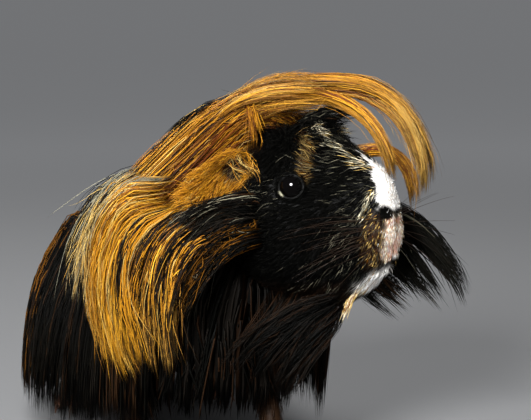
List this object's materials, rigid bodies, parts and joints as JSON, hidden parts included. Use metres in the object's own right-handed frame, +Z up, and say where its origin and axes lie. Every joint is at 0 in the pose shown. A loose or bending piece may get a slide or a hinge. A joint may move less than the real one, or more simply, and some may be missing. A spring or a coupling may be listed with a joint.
{
  "type": "guinea pig",
  "caption": "Still life-size long-haired guinea pig standing with its head raised and turned to its left, its coat hanging in long locks.",
  "frame": {"origin": "on the floor, under the middle of the bounding box", "axes": "+X along the body from the rump towards the shoulders, +Y to the animal's left, +Z up; the head is turned 45 degrees from +X towards +Y"},
  "size_m": [0.2086, 0.1488, 0.1503],
  "materials": {
    "dark_fur": "black to dark brown long fur, soft and slightly glossy",
    "gold_fur": "golden orange long fur, bleached straw at the tips",
    "white_fur": "short white fur",
    "ear_skin": "thin bare reddish brown skin",
    "foot_skin": "dark short-haired skin with horn claws",
    "eye": "wet glossy black"
  },
  "bodies": {
    "root": {"head": "dark_fur", "muzzle": "white_fur", "lower_jaw": "white_fur", "eye_right": "eye", "eye_left": "eye", "ear_right": "ear_skin", "ear_left": "ear_skin", "neck": "dark_fur", "shoulders": "dark_fur", "trunk": "dark_fur", "rump": "dark_fur", "fore_right_leg": "dark_fur", "fore_left_leg": "dark_fur", "hind_right_leg": "dark_fur", "hind_left_leg": "dark_fur", "fore_right_foot": "foot_skin", "fore_left_foot": "foot_skin", "hind_right_foot": "foot_skin", "hind_left_foot": "foot_skin", "crest": "gold_fur", "forelock_outer": "gold_fur", "forelock_inner": "gold_fur", "temple_lock": "gold_fur", "brow_tuft": "dark_fur", "cheek_lock": "dark_fur", "jowl_lock": "dark_fur", "mane_right": "gold_fur", "mane_left": "dark_fur", "bib": "dark_fur", "skirt_right": "dark_fur", "skirt_rump": "dark_fur", "skirt_left": "dark_fur"}
  },
  "joints": []
}
